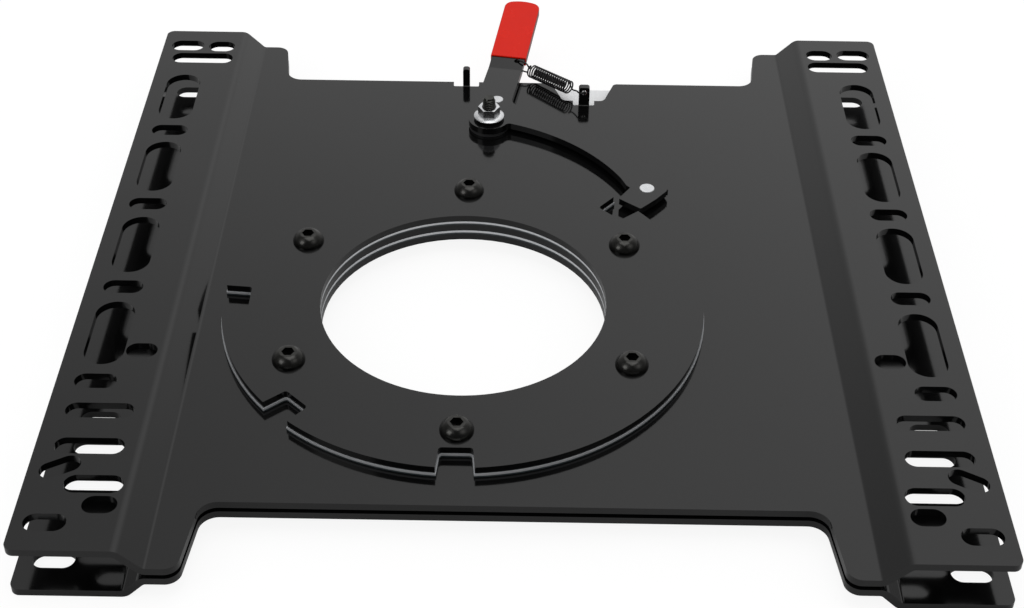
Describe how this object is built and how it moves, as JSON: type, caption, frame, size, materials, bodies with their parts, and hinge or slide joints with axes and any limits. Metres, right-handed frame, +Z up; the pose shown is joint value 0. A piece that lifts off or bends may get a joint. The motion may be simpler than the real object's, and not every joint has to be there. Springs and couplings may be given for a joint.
{
  "type": "swivel seat base",
  "caption": "Low steel turntable for a camper seat: slotted pressed plates turning on a bolted lock disc, with a sprung latch lever and a red grip.",
  "frame": {"origin": "swivel axis, centre of the cable hole, at the level of the top face of the upper plate's web", "axes": "+Z up towards the seat, +Y to the rear where the lever sticks out, +X to the right"},
  "size_m": [0.4686, 0.4995, 0.0403],
  "materials": {
    "black_steel": "gloss powder coat",
    "bare_steel": "zinc plated",
    "black_screw": "black oxide",
    "slide_plastic": "satin",
    "red_grip": "glossy dipped vinyl",
    "spring_wire": "black wire"
  },
  "bodies": {
    "base": {"bottom_plate": "black_steel", "lower_slide_ring": "slide_plastic", "spacer_ring": "black_steel", "upper_slide_ring": "slide_plastic", "lock_disc": "black_steel", "rear_glide_pad": "slide_plastic", "disc_screw_1": "black_screw", "disc_nut_1": "bare_steel", "disc_screw_2": "black_screw", "disc_nut_2": "bare_steel", "disc_screw_3": "black_screw", "disc_nut_3": "bare_steel", "disc_screw_4": "black_screw", "disc_nut_4": "bare_steel", "disc_screw_5": "black_screw", "disc_nut_5": "bare_steel", "disc_screw_6": "black_screw", "disc_nut_6": "bare_steel"},
    "turntable": {"top_plate": "black_steel", "pivot_stud": "bare_steel", "pivot_bush": "bare_steel", "pivot_washer": "slide_plastic", "pivot_nut": "bare_steel"},
    "lever": {"latch_lever": "black_steel", "grip_sleeve": "red_grip", "pawl_rivet": "bare_steel", "lever_rivet": "bare_steel", "return_spring": "spring_wire"}
  },
  "joints": [
    {"name": "seat_swivel", "type": "hinge", "parent": "base", "child": "turntable", "pos_m": [0, 0, 0], "axis": [0, 0, 1], "range_deg": [-180, 180]},
    {"name": "latch_lever", "type": "hinge", "parent": "turntable", "child": "lever", "pos_m": [0.01, 0.1814, 0], "axis": [0, 0, 1], "range_deg": [-6.4, 11.2], "stiffness_Nm_per_rad": 1.5, "springref_deg": -28.65, "deforming": ["return_spring"]}
  ]
}
